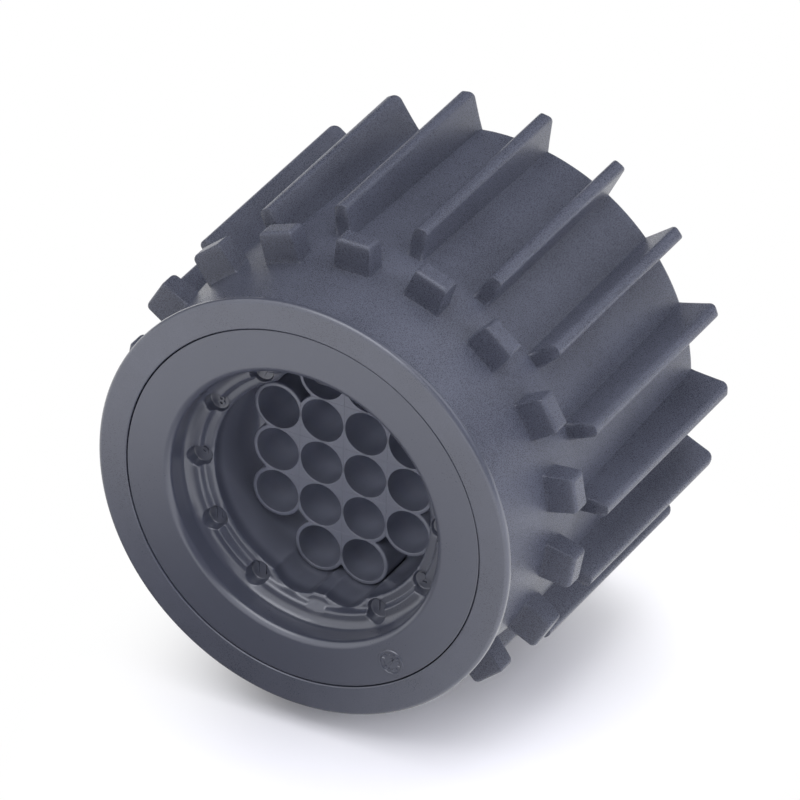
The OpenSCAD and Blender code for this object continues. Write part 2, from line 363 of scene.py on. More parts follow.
def moulded(name, dark, light, gloss, grain_scale, grain_depth, grain_from=-1.0):
    """Principled plastic or rubber from the grain group; gives the material, its shader and the grain."""
    material = bpy.data.materials.new(name)
    material.use_nodes = True
    tree = material.node_tree
    grain = new_node(tree, "Group", {
        "Dark": (*dark, 1),
        "Light": (*light, 1),
        "Smooth": gloss[0],
        "Rough": gloss[1],
        "Grain Scale": grain_scale,
        "Grain From": grain_from,
    }, node_tree=GRAIN).outputs
    bump = new_node(tree, "Bump", {"Strength": 1.0, "Distance": grain_depth, "Height": grain["Height"]})
    shader = plug(tree.nodes["Principled BSDF"], {
        "IOR": SKIN_IOR,
        "Specular Tint": COOL_GLINT,
        "Base Color": grain["Color"],
        "Roughness": grain["Roughness"],
        "Normal": bump.outputs["Normal"],
        "Coat IOR": COAT_IOR,
        "Coat Roughness": gloss[0],
    })
    return material, shader, grain


def paint_light_inside(tree, colour, deep):
    """Colour mixed towards a paler one by the mask: painted light on the deep walls."""
    mask = new_node(tree, "Group", {}, node_tree=PAINTED_LIGHT_MASK).outputs["Mask"]
    return mixed(tree, "RGBA", mask, colour, (*deep, 1))


# %% Four finishes
RIM_BACK = WIRE_FACE + 0.0008
NOWHERE = 1.0
RING_DARK, RING_LIGHT = (0.03, 0.0325, 0.046), (0.086, 0.0935, 0.131)
HOUSING_DARK, HOUSING_LIGHT = (0.045, 0.049, 0.071), (0.058, 0.0635, 0.091)
# Paler colour painted on the deep walls of the wire entry: painted light.
HOUSING_PAINTED_LIGHT = (0.32, 0.34, 0.43)
SEAL_DARK, SEAL_LIGHT = (0.26, 0.05, 0.03), (0.36, 0.08, 0.045)
LOCK_DARK, LOCK_LIGHT = (0.46, 0.43, 0.36), (0.54, 0.51, 0.44)
ring_plastic, shader, grain = moulded(
    "ring_plastic", RING_DARK, RING_LIGHT, (0.23, 0.35), 8500, 0.00005, RIM_BACK
)
plug(shader, {"Coat Weight": grain["Polish"]})
housing_plastic, shader, grain = moulded(
    "housing_plastic", HOUSING_DARK, HOUSING_LIGHT, (0.25, 0.33), 6000, 0.000015, NOWHERE
)
# Painted light: the housing's colour turns paler down the well and the cavities.
inside = paint_light_inside(housing_plastic.node_tree, grain["Color"], HOUSING_PAINTED_LIGHT)
plug(shader, {"Coat Weight": 1.0, "Base Color": inside})
seal_silicone = moulded("seal_silicone", SEAL_DARK, SEAL_LIGHT, (0.42, 0.6), 2600, 0.00002)[0]
lock_plastic = moulded("lock_plastic", LOCK_DARK, LOCK_LIGHT, (0.35, 0.5), 4200, 0.000006)[0]
print("materials:", [m.name for m in bpy.data.materials])

# %% [markdown]
# ## The coupling ring
#
# On the real part this is one moulding: a thin rim around the wire face, a
# shoulder with a lug between each pair of ribs, and a drum with long grip
# ribs. A bevelled box for each rib would leave hard joints at its foot. Here
# the whole outside is one height field instead: at each angle and depth it
# holds one radius, so ribs and lugs grow out of the wall through real fillets.

# %% The ring's bare wall
RIBS = 18
STEP = 2 * np.pi / RIBS
RING_LENGTH = 47.0
NECK = (24.5, 0.9)
CREASE = (25.7, 15.4)
DRUM_END = 24.5
DRUM_ROUND = 0.6
CREASE_ROUND = 0.06


def ring_wall(depth):
    """Radius of the wall: the lower of the shoulder's and the drum's cones, rounded at the mating end."""
    shoulder = NECK[0] + (depth - NECK[1]) * (CREASE[0] - NECK[0]) / (CREASE[1] - NECK[1])
    drum = CREASE[0] + (depth - CREASE[1]) * (DRUM_END - CREASE[0]) / (RING_LENGTH - CREASE[1])
    wall = (shoulder + drum - np.sqrt((shoulder - drum) ** 2 + CREASE_ROUND**2)) / 2
    into = np.clip(depth - (RING_LENGTH - DRUM_ROUND), 0, DRUM_ROUND)
    return wall - DRUM_ROUND + np.sqrt(DRUM_ROUND**2 - into**2)


print("wall at the crease:", ring_wall(CREASE[1]).round(2), "mm")

# %% [markdown]
# A rib or a lug is a bar with sloping sides. Its half section runs from the
# middle of its top, around the top edge, down the side and through a hollow
# fillet onto the wall. Three numbers per point say how far it lies below the
# top, how far above the wall, and how much of each counts, so the same section
# fits a wall whose radius changes.

# %% The half section of a bar
MIRROR = np.array([[-1], [1], [1], [1]])


def half_section(top, wall, half_top, half_foot, edge, foot, sides, arc_steps=4):
    """Places from the middle outwards, with their drop from the top, rise from the wall, and mix."""
    corners = np.array([(0, top), (half_top, top), (half_foot, wall), (half_foot + 1, wall)], float)
    edge_arc = corner_arc(*corners[:3], edge, arc_steps)
    foot_arc = corner_arc(*corners[1:], foot, arc_steps - 1)
    t = np.linspace(0, 1, sides + 2)[1:-1, None]
    side = edge_arc[-1] + t * (foot_arc[0] - edge_arc[-1])
    place = np.concatenate([[edge_arc[0, 0] - LEAD], edge_arc[:, 0], side[:, 0], foot_arc[:, 0]])
    drop = np.concatenate([[0], top - edge_arc[:, 1]])
    rise = foot_arc[:, 1] - wall
    mix = np.concatenate([0 * drop, t[:, 0], 0 * rise + 1])
    all_drop = np.concatenate([drop, np.full(sides + len(rise), drop[-1])])
    all_rise = np.concatenate([np.full(len(drop) + sides, rise[0]), rise])
    return np.stack([place, all_drop, all_rise, mix])


def plain(at, mix):
    """Points without drop or rise: on the flat top for a mix of 0, on the bare wall for 1."""
    at = np.array(at, float)
    return np.stack([at, 0 * at, 0 * at, 0 * at + mix])


def across(section, middles):
    """A whole section: mirrored half, points on the flat top, half, in rising order."""
    return np.concatenate([(MIRROR * section)[:, ::-1], plain(middles, 0), section], axis=1)


# %% Sections of the ribs and the lugs
RIB_TOP = 29.4
LUG_TOP = 28.95
RIB_EDGE = 0.66
LUG_EDGE = 0.46
RIB_FRONT_EDGE = 0.1
FOOT = 0.02
rib_section = half_section(RIB_TOP, 25.1, 0.78, 1.06, RIB_EDGE, FOOT, sides=1)
lug_section = half_section(LUG_TOP, 25.25, 2.1, 2.33, LUG_EDGE, FOOT, sides=4)
lug_ends = half_section(LUG_TOP, 25.25, 1.25, 1.47, LUG_EDGE, FOOT, sides=4)
rib_front = half_section(RIB_TOP, 25.6, 2.9, 3.2, RIB_FRONT_EDGE, FOOT, sides=1)
rib_columns = across(rib_section, [0])
lug_columns = across(lug_section, [-1, 0, 1])
print("columns per rib and lug:", rib_columns.shape[1], lug_columns.shape[1])

# %% [markdown]
# Columns lie where the sections need them, crowded at edges and sparse on
# flats, and repeat every 20 degrees. Rows do the same along the depth. Where a
# row passes no bar, its mix is 1 and its rise 0, which leaves the bare wall.

# %% Rows along a lug
LUG_MIDDLE = 11.95
SHOULDER_ROWS = [2.1, 2.15, 3.2, 5.0, 7.0, 8.8, 9.8]
CREASE_ROWS = [14.2, 14.9, 15.2, 15.32, 15.4, 15.48, 15.6, 15.9, 16.3]
lug_rows = across(lug_ends, [0])
lug_rows[0] += LUG_MIDDLE
lug_along = np.concatenate([plain(SHOULDER_ROWS, 1), lug_rows, plain(CREASE_ROWS, 1)], axis=1)
print("rows along a lug:", lug_along.shape[1])

# %% Rows along a rib
RIB_FRONT_MIDDLE = 20.0
RIB_REAR = 45.9
RIB_REAR_ROUND = 0.8
front_rows = (MIRROR * rib_front)[:, ::-1]
front_rows[0] += RIB_FRONT_MIDDLE
mid_rows = plain(np.linspace(20.5, 45.4, 7), 0)
rear = np.linspace(0, 0.97, 6) * RIB_REAR_ROUND
rear_drop = RIB_REAR_ROUND - np.sqrt(RIB_REAR_ROUND**2 - rear**2)
fall = np.linspace(0.2, 1, 5)
fall_depth = RIB_REAR + rear[-1] + fall * (RING_LENGTH - RIB_REAR - rear[-1])
rear_depth = np.concatenate([RIB_REAR + rear, fall_depth])
rear_rows = np.stack([
    rear_depth,
    np.concatenate([rear_drop, np.full(len(fall), rear_drop[-1])]),
    0 * rear_depth,
    np.concatenate([0 * rear, fall]),
])
rib_along = np.concatenate([front_rows, mid_rows, rear_rows], axis=1)
depths = np.concatenate([lug_along[0], rib_along[0]])
print("outside rows:", len(depths), "rising:", bool(np.all(np.diff(depths) > 0)))

# %% The outside as one height field
WALL_REF = 25.0
lug_part = np.concatenate([lug_along, plain(rib_along[0], 1)], axis=1)[1:, :, None]
rib_part = np.concatenate([plain(lug_along[0], 1), rib_along], axis=1)[1:, :, None]


def bar_height(part, top, wall):
    """Height over the wall: what the drop leaves of the top, mixed with the rise."""
    drop, rise, mix = part
    return (1 - mix) * (top - drop - wall) + mix * rise


def bar_top(top, wall, along, around):
    """Radius over a bar: what two sections take off adds as the root of squares, which rounds corners."""
    full = top - wall
    low = np.hypot(full - bar_height(along, top, wall), full - bar_height(around, top, wall))
    return wall + np.maximum(full - low, 0)


def bar_sector(columns, top, along, middle):
    """One bar's strip of the wall: radius along its middle line, offset across it, turned to its angle."""
    offset = columns[0]
    wall = np.sqrt(ring_wall(depths)[:, None] ** 2 - offset**2)
    lift = bar_top(top, wall, along, columns[1:, None, :])
    x = lift * np.cos(middle) - offset * np.sin(middle)
    y = lift * np.sin(middle) + offset * np.cos(middle)
    return in_frame(x, y, depths[:, None])


def sector_angles(columns, middle):
    """Angles of the same columns where the ring is plainly turned: arc sines of their offsets."""
    return middle + np.arcsin(columns[0] / WALL_REF)


kinds = [(rib_columns, RIB_TOP, rib_part, 0), (lug_columns, LUG_TOP, lug_part, 0.5)]
bars = [(*kind[:3], (k + kind[3]) * STEP) for k in range(RIBS) for kind in kinds]
outside = np.concatenate([bar_sector(*bar) for bar in bars], axis=1)
skin_turn = np.concatenate([sector_angles(bar[0], bar[3]) for bar in bars])
print("outside grid:", outside.shape[:2])

# %% [markdown]
# The rest of the ring is plainly turned: mating end, mouth, the inner lip that
# the housing traps, the counterbore for the housing's face, and the rim. It
# needs far fewer columns than the skin, so it is a grid of its own. Both close
# inside the wall, and they meet behind the rim and on the mating end.

# %% The ring's turned core and rim
CORE_COLUMNS = 270
skin_back = np.array([(23.65, 46.99), (23.5, 46.98), (23.2, 46.5), (23.2, 2.4), (24.3, 1.95)])
skin = np.concatenate([outside, turned(skin_back[:, :1], skin_turn, skin_back[:, 1:])])
core_path = rounded([
    (23.7, 47, 0), (23.65, 47, 0), (22.8, 47, 0.15), (22, 46.2, 0.15),
    (22, 6.4, 0.3), (18.9, 6.4, 0.2), (18.9, 3.2, 0.2), (22.4, 3.2, 0.15),
    (22.4, 0, 0.12), (26, 0, 0.46), (26, 0.9, 0.22), (*NECK, 0.3),
    (24.595, 2.05, 0), (24.599, 2.1, 0), (23.2, 2.6, 0), (23.2, 46.6, 0),
], closed=True)
core = turned(core_path[:, :1], full_turn(CORE_COLUMNS), core_path[:, 1:])
ring = make_piece("ring_moulding", [(skin, True), (core, True)], ring_plastic, "ring")
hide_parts("coupling_ring")

# %% [markdown]
# ## Bayonet lugs in the ring's mouth
#
# Three short lugs on the inside of the ring pull the header in when the ring
# turns. A box could stand for each, but would not follow the bore. Each is a
# section carried along an arc instead. Near its ends the section sinks back
# into the wall, which rounds them, and a cap closes each end inside it.

# %% Blocks along an arc


def arc_blocks(section, angles, spread, sink, steps=13):
    """Closed section (radius, depth) swept over spread degrees at each angle; sink moves its ends."""
    t = np.linspace(-1, 1, steps)
    ease = np.sign(t) * np.abs(t) ** 0.5
    shift = sink * np.clip((np.abs(ease) - 0.9) / 0.1, 0, 1) ** 2
    turns = [np.radians(middle + spread / 2 * ease) for middle in angles]
    return [(turned(section[:, :1] + shift, turn, section[:, 1:]), False) for turn in turns]


bayonet_section = rounded([
    (22.5, 35.6, 0), (20.6, 35.6, 0.25), (20.6, 38.1, 0.4), (22, 38.8, 0), (22.5, 38.8, 0)
], closed=True)
bayonets = arc_blocks(bayonet_section, angles=(60, 180, 300), spread=18, sink=0.4)
make_piece("bayonet_lugs", bayonets, ring_plastic, "ring")

# %% [markdown]
# ## The wire entry
#
# The housing's face drops through a rounded lip and a hollow onto two ledges,
# then into the well of contact cavities. Eleven round pockets sit on the step
# between the ledges. A Boolean would cut them, but leaves knife edges. Instead
# the grid itself bends: around each pocket its squares of rows and columns are
# pushed into circles, so that every rim is a true ring of points.

# %% Places of the cavities
PITCH = 5.55
long_rows = np.array([(c, r) for r in (-1, 0, 1) for c in (-1.5, -0.5, 0.5, 1.5)])
short_rows = np.array([(c, r) for r in (-2, 2) for c in (-0.5, 0.5)])
cavities = np.concatenate([long_rows, short_rows]) * PITCH
print(len(cavities), "cavities")

# %% [markdown]
# Each of the twelve places is a block of 25 by 25 points. Its shells are
# squares in the grid and circles on the part, from the pocket's middle out to
# its rim; only the last shell is square again and joins its neighbours.

# %% Lines of one block of the ledge
SHELLS = np.array([0, 0.5, 0.9, 1.1, 1.14, 1.17, 1.2, 1.25, 1.285, 1.33, 1.385, 1.445])
HALF = len(SHELLS)
POCKET_RING = 15.2
BLOCK_SIDE = 1.7
BLOCK_OUT = 1.51
BLOCK_IN = 1.5


def spread_to(limit):
    """Offsets of a block's lines on its edge: the circle's own, stretched to the limit at the corner."""
    i = np.arange(HALF + 1)
    circle = SHELLS[-1] * np.sin(np.pi / 4 * i / HALF)
    stretch = np.clip((i - HALF / 2) / (HALF / 2), 0, 1) ** 1.5
    return circle + stretch * (limit - circle[-1])


def both_ways(low, high):
    """Offsets from -low to high about 0."""
    return np.concatenate([-low[:0:-1], high])


block_x = both_ways(spread_to(BLOCK_SIDE), spread_to(BLOCK_SIDE))
block_y = both_ways(spread_to(BLOCK_IN), spread_to(BLOCK_OUT))
print("lines of a block:", len(block_x), "by", len(block_y))

# %% Squares of the block pushed into circles
NO_POCKET = 9.0
i_across, i_up = np.meshgrid(np.arange(-HALF, HALF + 1), np.arange(-HALF, HALF + 1))
shell = np.maximum(np.abs(i_across), np.abs(i_up))
beside = np.abs(i_across) >= np.abs(i_up)
lean = np.pi / 4 * np.where(beside, i_up, i_across) / np.maximum(shell, 1)
shell_size = np.append(SHELLS, 0)[shell]
round_x = shell_size * np.where(beside, np.sign(i_across) * np.cos(lean), np.sin(lean))
round_y = shell_size * np.where(beside, np.sin(lean), np.sign(i_up) * np.cos(lean))
last = shell == HALF
round_radius = np.hypot(POCKET_RING + round_y, round_x)
round_angle = np.arctan2(round_x, POCKET_RING + round_y)
block_radius = np.where(last, POCKET_RING + block_y[:, None], round_radius)
block_angle = np.where(last, block_x[None, :] / POCKET_RING, round_angle)
block_pocket = np.where(last, NO_POCKET, shell_size)
print("block:", block_radius.shape)

# %% Join twelve blocks into the ledge
PLACES = 12
GAP_LINES = 5
half_block = BLOCK_SIDE / POCKET_RING
gap = np.linspace(half_block, 2 * np.pi / PLACES - half_block, GAP_LINES + 2)[1:-1]
gap_radius = np.repeat((POCKET_RING + block_y)[:, None], GAP_LINES, axis=1)
place_radius = np.concatenate([block_radius, gap_radius], axis=1)
place_angle = np.concatenate([block_angle, np.broadcast_to(gap, gap_radius.shape)], axis=1)
place_pocket = np.concatenate([block_pocket, np.full(gap_radius.shape, NO_POCKET)], axis=1)
place_angles = np.arange(PLACES) * 2 * np.pi / PLACES - np.pi / 2
flat_radius = np.tile(place_radius, PLACES)
ledge_angle = np.concatenate([place_angle + p for p in place_angles], axis=1)
ledge_pocket = np.concatenate([place_pocket + NO_POCKET * (i == 0) for i in range(PLACES)], axis=1)
print("ledge grid:", flat_radius.shape)

# %% [markdown]
# The well is not quite round: four end cavities bite into the ledge. Its edge
# is the farther of the well's circle and those bites, and the ledge's points
# are pushed out to it where they would hang over the edge.

# %% Edge of the well
WELL = 13.7
SCALLOP = 3.3


def reach(angle, centres, radius):
    """Distance along a ray from the axis to the far side of the farthest circle that it meets, or 0."""
    along = np.multiply.outer(np.cos(angle), centres[:, 0]) + np.multiply.outer(np.sin(angle), centres[:, 1])
    room = radius**2 - (centres**2).sum(axis=1) + along**2
    far = np.where((room > 0) & (along > 0), along + np.sqrt(np.maximum(room, 0)), 0)
    return far.max(axis=-1)


def well_edge(angle):
    """Radius of the well: its circle, or a scallop where that reaches farther."""
    return np.maximum(WELL, reach(angle, short_rows * PITCH, SCALLOP))


print("the well reaches out to", well_edge(full_turn(360)).max().round(2), "mm")

# %% Depth of the ledge
BORE = 16.9
HOLLOW = 1.1
WALL_END = 2.6
LEDGE = 3.7
STEP_DROP = 0.8
WELL_EDGE = 0.4
STEP_HEAD = POCKET_RING + block_y[HALF + 1]
STEP_FOOT = POCKET_RING + block_y[HALF - 5]


def ledge_depth(radius, edge):
    """Hollow, outer ledge, eased step, inner ledge, and the round edge over the well."""
    hollow = WALL_END + np.sqrt(HOLLOW**2 - np.clip(radius - BORE + HOLLOW, 0, HOLLOW) ** 2)
    t = np.clip((STEP_HEAD - radius) / (STEP_HEAD - STEP_FOOT), 0, 1)
    step = STEP_DROP * (t * t * (3 - 2 * t))
    over = np.clip(WELL_EDGE - (radius - edge), 0, WELL_EDGE)
    return hollow + step + WELL_EDGE - np.sqrt(WELL_EDGE**2 - over**2)


print("step between the ledges from", round(STEP_HEAD, 2), "to", round(STEP_FOOT, 2), "mm")

# %% Depth of the pockets
POCKET_FLOOR = 4.95
POCKET_RIM = 0.16
POCKET_HOLLOW = 0.1
RIM_AT, WALL_AT, FLOOR_AT = SHELLS[11], SHELLS[8], SHELLS[6]
EDGE_START = 0.05
EDGE_CROWD = 0.06


def pocket_depth(distance, ledge):
    """Quarter-round rim, steep wall and hollow foot, from the rim inwards."""
    into_rim = np.clip(RIM_AT - distance, 0, POCKET_RIM)
    rim = POCKET_RIM - np.sqrt(np.maximum(POCKET_RIM**2 - into_rim**2, 0))
    foot = np.clip(distance - FLOOR_AT + POCKET_HOLLOW, 0, POCKET_HOLLOW)
    floor = POCKET_FLOOR - POCKET_HOLLOW + np.sqrt(POCKET_HOLLOW**2 - foot**2)
    t = np.clip((WALL_AT - distance) / (WALL_AT - FLOOR_AT), 0, 1)
    wall = (1 - t) * (ledge + rim) + t * (POCKET_FLOOR - POCKET_HOLLOW)
    return np.where(distance <= FLOOR_AT, floor, wall)


crowd = np.linspace(0, EDGE_CROWD, flat_radius.shape[0])[:, None]
ledge_edge = well_edge(ledge_angle)
ledge_radius = np.maximum(flat_radius, ledge_edge + EDGE_START + crowd)
ledge_level = pocket_depth(ledge_pocket, ledge_depth(ledge_radius, ledge_edge))
ledge = turned(ledge_radius, ledge_angle, ledge_level)[::-1]
columns = ledge_angle[0]
print("ledge levels from", round(ledge_level.min(), 2), "to", round(ledge_level.max(), 2), "mm")

# %% [markdown]
# Around the ledge the housing is turned like the ring, with two exceptions:
# the well and the hole for the cavities follow their own outlines, and three
# key grooves run along the nose, under the columns of every fourth place.

# %% The housing's face
FACE = 0.12
FACE_RADIUS = 22.29
LIP_END = WALL_END - 0.2
lip_path = rounded([
    (20, 3, 0), (FACE_RADIUS, 3, 0.1), (FACE_RADIUS, FACE, 0.12), (BORE, FACE, 0.75), (BORE, LIP_END, 0)
], steps=6)
hollow_radius = BORE - HOLLOW + HOLLOW * np.cos(np.linspace(0, 0.5, 4))
hollow_depth = WALL_END + np.sqrt(HOLLOW**2 - (hollow_radius - BORE + HOLLOW) ** 2)
face_path = np.concatenate([lip_path, np.stack([hollow_radius, hollow_depth], axis=1)])
face = turned(face_path[:, :1], columns, face_path[:, 1:])
print("face rows:", len(face_path))

# %% The well and its moat
COLLAR = 3.15
MOUTH = 9.6
MOAT = 14.6
RECESS = 37.4
HOLE_ROOM = 0.02
MOAT_CHAMFER = 0.3
EDGE_END = 5.5
well = well_edge(columns)
hole = np.minimum(reach(columns, cavities, COLLAR), well) - HOLE_ROOM
bend = np.linspace(np.arcsin(1 - EDGE_START / WELL_EDGE), np.pi / 2, 4)[1:]
well_radius = np.concatenate([
    well + WELL_EDGE * (1 - np.sin(bend))[:, None],
    np.repeat(well[None], 3, axis=0),
    (well - MOAT_CHAMFER)[None],
    hole[None] + LEAD,
    hole[None],
    hole[None],
])
edge_depth = LEDGE + STEP_DROP + WELL_EDGE * (1 - np.cos(bend))
floor_depth = [EDGE_END, MOUTH, MOAT - MOAT_CHAMFER, MOAT, MOAT, MOAT + LEAD, RECESS]
well_depth = np.concatenate([edge_depth, floor_depth])
well_wall = turned(well_radius, columns, well_depth[:, None])
print("well rows:", len(well_depth))

# %% Nose, key grooves and barrel
GROOVE_COLUMNS = 8
GROOVE = 0.9
GROOVE_END = 18.7
NOSE_CORE = 16.2
tail_path = rounded([
    (14.4, RECESS, 0), (14.8, RECESS, 0.1), (14.8, 40, 0.15), (17, 40, 0.5),
    (17, 39, 0), (17, 19.2, 0), (17, GROOVE_END, 0), (17, 13, 0.1),
    (18.6, 13, 0.2), (18.6, 3, 0.1), (20, 3, 0),
])[1:-1]
line = np.concatenate([np.abs(np.arange(-HALF, HALF + 1)), np.full(GAP_LINES, HALF)])
keyed = np.concatenate([(line <= GROOVE_COLUMNS) & (p % 4 == 2) for p in range(PLACES)])
sunk = (tail_path[:, 0] > NOSE_CORE) & (tail_path[:, 1] > GROOVE_END + 0.1)
tail = turned(tail_path[:, :1] - GROOVE * np.outer(sunk, keyed), columns, tail_path[:, 1:])
shell_grid = np.concatenate([face, ledge, well_wall, tail])
print("housing shell:", shell_grid.shape[:2])

# %% [markdown]
# ## The block of cavities
#
# Each cavity was cored by its own pin on a square plate, and the seams between
# the plates show as fine crosses between the holes. So each cavity is its own
# tile: a tube whose outside is the pin's square towards a neighbour and a
# round collar towards the moat. Its edges are eased, and the seams follow.

# %% Directions around a cavity
collar_angle = np.arccos(PITCH / 2 / COLLAR)
to_collar = np.linspace(0, collar_angle, 6)[:-1]
to_diagonal = np.linspace(collar_angle, np.pi / 4, 6)[:-1]
octant = np.concatenate([to_collar, to_diagonal])
quadrant = np.concatenate([octant, np.pi / 2 - np.append(octant[1:], np.pi / 4)[::-1]])
around = np.concatenate([quadrant + q * np.pi / 2 for q in range(4)])
print("directions around a cavity:", len(around))

# %% Outline of a tile
SAME_PLACE = 0.1
TOUCH = 0.001


def is_cavity(at):
    """True where a cavity lies at these places, counted in steps of the pitch."""
    apart = np.abs(at[..., None, :] - cavities / PITCH).max(axis=-1)
    return (apart < SAME_PLACE).any(axis=-1)


def tile_outline(place):
    """Distance from the cavity's axis to its tile's edge, and where that edge is a free collar."""
    cos, sin = np.cos(around), np.sin(around)
    beside = np.where(cos > 0, is_cavity(place + (1, 0)), is_cavity(place - (1, 0)))
    above = np.where(sin > 0, is_cavity(place + (0, 1)), is_cavity(place - (0, 1)))
    across_x = np.where(beside, PITCH / 2 / np.maximum(np.abs(cos), 1e-6), np.inf)
    across_y = np.where(above, PITCH / 2 / np.maximum(np.abs(sin), 1e-6), np.inf)
    square = np.minimum(across_x, across_y)
    corner = is_cavity(place + np.sign(np.stack([cos, sin], axis=1)))
    outline = np.where(beside & above & corner, square, np.minimum(square, COLLAR))
    return outline, outline < square - TOUCH


def tube(place, outline, hole_at, path, easing):
    """Rows of a tile: share mixes the hole's outline with the tile's; inset, pull and sink ease edges."""
    share, inset, depth, pull, sink = path.T[:, :, None]
    radius = hole_at * (1 - share) + outline * share + inset - pull * easing
    x = place[0] * PITCH + radius * np.cos(around)
    y = place[1] * PITCH + radius * np.sin(around)
    return in_frame(x, y, depth + sink * easing)


# %% Rows of a tile
CAVITY_RIM = 0.07
FLAT_LEAD = 0.02
SEAL_BORE_END = 22.6
CONTACT_STEP = 0.65
STEP_TAPER = 0.4
quarter = np.linspace(0, np.pi / 2, 5)
zero = 0 * quarter
edge_rows = np.stack([zero + 1, zero, zero + MOUTH, 1 - np.cos(quarter), 1 - np.sin(quarter)], axis=1)
rim_in = CAVITY_RIM * (1 - np.sin(quarter))
rim_down = MOUTH + CAVITY_RIM * (1 - np.cos(quarter))
rim_rows = np.stack([zero, rim_in, rim_down, zero, zero], axis=1)
tile_path = np.concatenate([
    [(1, 0, RECESS, 0, 0), (1, 0, MOAT, 0, 0), (1, 0, MOUTH + LEAD, 0, 1)],
    edge_rows,
    [(1, -FLAT_LEAD, MOUTH, 1, 0), (0, CAVITY_RIM + FLAT_LEAD, MOUTH, 0, 0)],
    rim_rows,
    [(0, 0, MOUTH + CAVITY_RIM + LEAD, 0, 0), (0, 0, SEAL_BORE_END, 0, 0)],
    [(0, -CONTACT_STEP, SEAL_BORE_END + STEP_TAPER, 0, 0), (0, -CONTACT_STEP, RECESS, 0, 0)],
])
print("rows of a tile:", len(tile_path))

# %% Sixteen tiles
CAVITY = 2.65
SEAM = 0.045
COLLAR_ROUND = 0.22
places = cavities / PITCH
tiles = []
for place in places:
    outline, free = tile_outline(place)
    easing = np.where(free, COLLAR_ROUND, SEAM)
    tiles.append((tube(place, outline, CAVITY, tile_path, easing), True))
housing_grids = [(shell_grid, True)] + tiles
housing = make_piece("housing_moulding", housing_grids, housing_plastic, "housing")
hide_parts("contact_housing")

# %% [markdown]
# ## Position numbers
#
# The index pockets carry raised position numbers for the harness maker. They
# come from engraving in the mould. Strokes could draw them, but a font gives
# each number as a closed solid at once. It is turned into a mesh, stood up to
# face the wire side, and set on its pocket's floor.

# %% Eleven numbers
NUMBER_HEIGHT = 1.9
NUMBER_RAISE = 0.15
NUMBER_RING = 14.95


def number_mesh(body):
    """Solid number in its own plane, in millimetres, as a mesh."""
    curve = bpy.data.curves.new("number", "FONT")
    curve.body = body
    curve.size = NUMBER_HEIGHT
    curve.extrude = NUMBER_RAISE
    curve.resolution_u = 3
    curve.align_x, curve.align_y = "CENTER", "CENTER"
    holder = bpy.data.objects.new("number", curve)
    mesh = bpy.data.meshes.new_from_object(holder)
    bpy.data.objects.remove(holder)
    return mesh


def facing_out(x, y, depth):
    """Matrix that stands a flat drawing up on the wire side, in front of a depth."""
    return Matrix((
        (MM, 0, 0, x * MM),
        (0, 0, -MM, depth * MM + WIRE_FACE),
        (0, MM, 0, y * MM + AXIS_HEIGHT),
        (0, 0, 0, 1),
    ))


joined = bmesh.new()
for i, angle in enumerate(place_angles[1:]):
    number = number_mesh(str(i + 1))
    number.transform(facing_out(NUMBER_RING * np.cos(angle), NUMBER_RING * np.sin(angle), POCKET_FLOOR))
    joined.from_mesh(number)
numbers = bpy.data.meshes.new("position_numbers")
joined.to_mesh(numbers)
joined.free()
numbers.materials.append(housing_plastic)
position_numbers = add_object("position_numbers", numbers)
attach(position_numbers, "housing")
print("position_numbers", len(numbers.polygons), "faces")

# %% [markdown]
# ## Date dial
#
# The face has a small dial that tells the moulding date: a ring, twelve ticks
# and an arrow, all from a round insert in the mould. A flat texture could show
# them, but only raised strokes catch the light. Each stroke is a bar with a
# narrow top, carried from point to point or around the ring.

# %% Ring, ticks and arrow
DIAL = (11.7, -16.4)
STROKE = np.array([(-0.18, FACE + 0.05), (-0.08, FACE - 0.11), (0.08, FACE - 0.11), (0.18, FACE + 0.05)])
stroke_side, stroke_depth = STROKE.T[:, :, None]


def stroke(start, end):
    """Raised bar between two points of the dial: the section's sides lie across its direction."""
    ends = np.array([start, end], float)
    run = unit(ends[1] - ends[0])
    x = DIAL[0] + ends[None, :, 0] - stroke_side * run[1]
    y = DIAL[1] + ends[None, :, 1] + stroke_side * run[0]
    return in_frame(x, y, stroke_depth)


def dial_ring(radius):
    """The same section carried around a circle."""
    turn = full_turn(48)
    x = DIAL[0] + (radius + stroke_side) * np.cos(turn)
    y = DIAL[1] + (radius + stroke_side) * np.sin(turn)
    return in_frame(x, y, stroke_depth)


DIAL_RADIUS = 1.45
TICK_FROM, TICK_TO = 0.86, 1.14
ARROW_TAIL, ARROW_HEAD = (-0.3, -0.5), (0.3, 0.5)
hours = np.radians(np.arange(12) * 30 + 15)
directions = np.stack([np.cos(hours), np.sin(hours)], axis=1)
ticks = [(stroke(TICK_FROM * d, TICK_TO * d), False) for d in directions]
arrow = [(ARROW_TAIL, ARROW_HEAD), (ARROW_HEAD, (0.28, 0.12)), (ARROW_HEAD, (-0.06, 0.36))]
marks = [(stroke(*ends), False) for ends in arrow]
dial_grids = [(dial_ring(DIAL_RADIUS), True)] + ticks + marks
date_dial = make_piece("date_dial", dial_grids, housing_plastic, "housing")
date_dial.data.polygons.foreach_set("use_smooth", np.zeros(len(date_dial.data.polygons), bool))

# %% [markdown]
# ## Snap tabs
#
# Hidden between ring and housing, four snap tabs hold the ring on: it slides
# over their ramps once and stays. They are blocks along an arc like the
# bayonet lugs, but on the outside of the barrel, so their ends sink inwards.

# %% Snap tabs
tab_section = rounded([
    (18.2, 6.6, 0), (20.3, 6.6, 0.2), (20.3, 7.5, 0.3), (18.6, 9.2, 0), (18.2, 9.2, 0)
], closed=True)
tabs = arc_blocks(tab_section, angles=(45, 135, 225, 315), spread=26, sink=-0.3)
make_piece("snap_tabs", tabs, housing_plastic, "housing")

# %% [markdown]
# ## Interface seal
#
# A silicone sleeve with three lips sits on the nose and seals the header. It
# is moulded in one piece. Three tori on a tube would leave creases inside it,
# so one outline is turned: each lip is half a circle that rises from the
# sleeve's own radius, and the valleys between them stay just above it.

